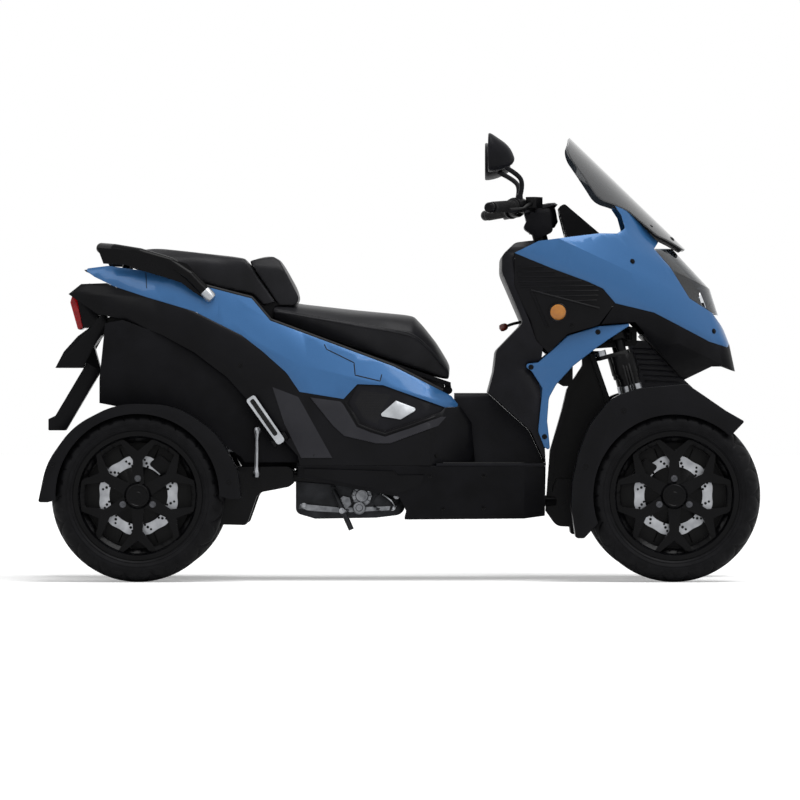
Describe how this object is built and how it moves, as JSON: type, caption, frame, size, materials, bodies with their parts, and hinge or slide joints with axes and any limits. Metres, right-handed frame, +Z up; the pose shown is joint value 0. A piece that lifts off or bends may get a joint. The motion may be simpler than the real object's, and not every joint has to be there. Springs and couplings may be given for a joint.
{
  "type": "four-wheeled leaning scooter",
  "caption": "Step-through scooter with leaning paired wheels front and rear, moulded nose with windscreen, long stepped saddle over a storage tub, and folding pillion pegs.",
  "frame": {"origin": "on the ground, under the middle of the box round the whole machine", "axes": "+X forward, +Y to the left, +Z up"},
  "size_m": [2.1255, 0.804, 1.3252],
  "materials": {
    "tyre": "matte rubber",
    "rim": "satin black cast alloy",
    "disc": "ground steel",
    "black_metal": "satin black",
    "dark_alloy": "dark cast alloy",
    "steel": "plain steel",
    "blue": "gloss painted blue",
    "black_plastic": "grained black moulding",
    "grey_plastic": "dark grey moulding",
    "lens": "clear lens",
    "screen": "smoked sheet",
    "lamp": "dark lamp housing",
    "amber": "amber reflector",
    "red": "red lamp lens",
    "silver": "satin silver",
    "vinyl": "grained black vinyl",
    "rubber": "soft black rubber"
  },
  "bodies": {
    "chassis": {"belly_pan": "black_plastic", "dash": "black_plastic", "engine": "dark_alloy", "fairing_sides": "black_plastic", "floor": "grey_plastic", "frame": "black_metal", "grab_rail": "black_metal", "headlamp_lens": "lens", "headlamp_unit": "lamp", "inner_fender": "black_plastic", "leg_shield": "grey_plastic", "nose_cowl": "black_plastic", "nose_panel": "blue", "rear_brackets": "black_metal", "rear_covers": "black_plastic", "rear_mudguards": "black_plastic", "reflectors": "amber", "screen_garnish": "black_plastic", "seat_tub": "black_plastic", "side_trims": "blue", "side_vents": "black_plastic", "silencer": "steel", "swing_arms": "dark_alloy", "tail_deck": "black_plastic", "tail_fender": "black_plastic", "tail_lamp": "red", "tail_panel": "blue", "tilt_arms": "black_metal", "vent_inserts": "silver", "windscreen": "screen"},
    "saddle": {"backrest": "vinyl", "pillion_cushion": "vinyl", "rider_cushion": "vinyl", "seat_pan": "black_plastic"},
    "steering": {"bar_controls": "black_metal", "bar_cover": "grey_plastic", "grips": "rubber", "handlebar": "black_metal", "mirrors": "grey_plastic"},
    "wheel_front_left": {"brake_disc_front_left": "disc", "rim_front_left": "rim", "tyre_front_left": "tyre"},
    "wheel_front_right": {"brake_disc_front_right": "disc", "rim_front_right": "rim", "tyre_front_right": "tyre"},
    "wheel_rear_left": {"brake_disc_rear_left": "disc", "rim_rear_left": "rim", "tyre_rear_left": "tyre"},
    "wheel_rear_right": {"brake_disc_rear_right": "disc", "rim_rear_right": "rim", "tyre_rear_right": "tyre"},
    "peg_left": {"foot_peg_left": "silver"},
    "peg_right": {"foot_peg_right": "silver"},
    "knuckle_left": {"front_mudguard_left": "black_plastic", "upright_left": "black_metal"},
    "knuckle_right": {"front_mudguard_right": "black_plastic", "upright_right": "black_metal"},
    "track_link_left": {"track_rod_left": "steel"},
    "track_link_right": {"track_rod_right": "steel"}
  },
  "joints": [
    {"name": "steer", "type": "hinge", "parent": "chassis", "child": "steering", "pos_m": [0.3985, 0, 1.104], "axis": [-0.2588, 0, 0.9659], "range_deg": [-30, 30]},
    {"name": "kingpin_left", "type": "hinge", "parent": "chassis", "child": "knuckle_left", "pos_m": [0.7735, 0.172, 0.255], "axis": [-0.2588, 0, 0.9659], "range_deg": [-30, 30]},
    {"name": "track_pivot_left", "type": "hinge", "parent": "steering", "child": "track_link_left", "pos_m": [0.45546, 0.017, 0.6596], "axis": [-0.2588, 0, 0.9659], "range_deg": [-30, 30]},
    {"name": "kingpin_right", "type": "hinge", "parent": "chassis", "child": "knuckle_right", "pos_m": [0.7735, -0.172, 0.255], "axis": [-0.2588, 0, 0.9659], "range_deg": [-30, 30]},
    {"name": "track_pivot_right", "type": "hinge", "parent": "steering", "child": "track_link_right", "pos_m": [0.45546, -0.017, 0.6596], "axis": [-0.2588, 0, 0.9659], "range_deg": [-30, 30]},
    {"name": "spin_front_left", "type": "hinge", "parent": "knuckle_left", "child": "wheel_front_left", "pos_m": [0.8085, 0.275, 0.255], "axis": [0, 1, 0], "continuous": true},
    {"name": "spin_front_right", "type": "hinge", "parent": "knuckle_right", "child": "wheel_front_right", "pos_m": [0.8085, -0.275, 0.255], "axis": [0, 1, 0], "continuous": true},
    {"name": "spin_rear_left", "type": "hinge", "parent": "chassis", "child": "wheel_rear_left", "pos_m": [-0.7715, 0.275, 0.255], "axis": [0, 1, 0], "continuous": true},
    {"name": "spin_rear_right", "type": "hinge", "parent": "chassis", "child": "wheel_rear_right", "pos_m": [-0.7715, -0.275, 0.255], "axis": [0, 1, 0], "continuous": true},
    {"name": "saddle_lift", "type": "hinge", "parent": "chassis", "child": "saddle", "pos_m": [0.1465, 0, 0.566], "axis": [0, 1, 0], "range_deg": [0, 55]},
    {"name": "peg_fold_left", "type": "hinge", "parent": "chassis", "child": "peg_left", "pos_m": [-0.3555, 0.246, 0.42], "axis": [-0.8192, 0, -0.5736], "range_deg": [0, 90]},
    {"name": "peg_fold_right", "type": "hinge", "parent": "chassis", "child": "peg_right", "pos_m": [-0.3555, -0.246, 0.42], "axis": [0.8192, 0, 0.5736], "range_deg": [0, 90]}
  ],
  "couplings": [
    {"joint": "kingpin_left", "follows": "steer", "ratio": 1},
    {"joint": "track_pivot_left", "follows": "steer", "ratio": -1},
    {"joint": "kingpin_right", "follows": "steer", "ratio": 1},
    {"joint": "track_pivot_right", "follows": "steer", "ratio": -1}
  ]
}
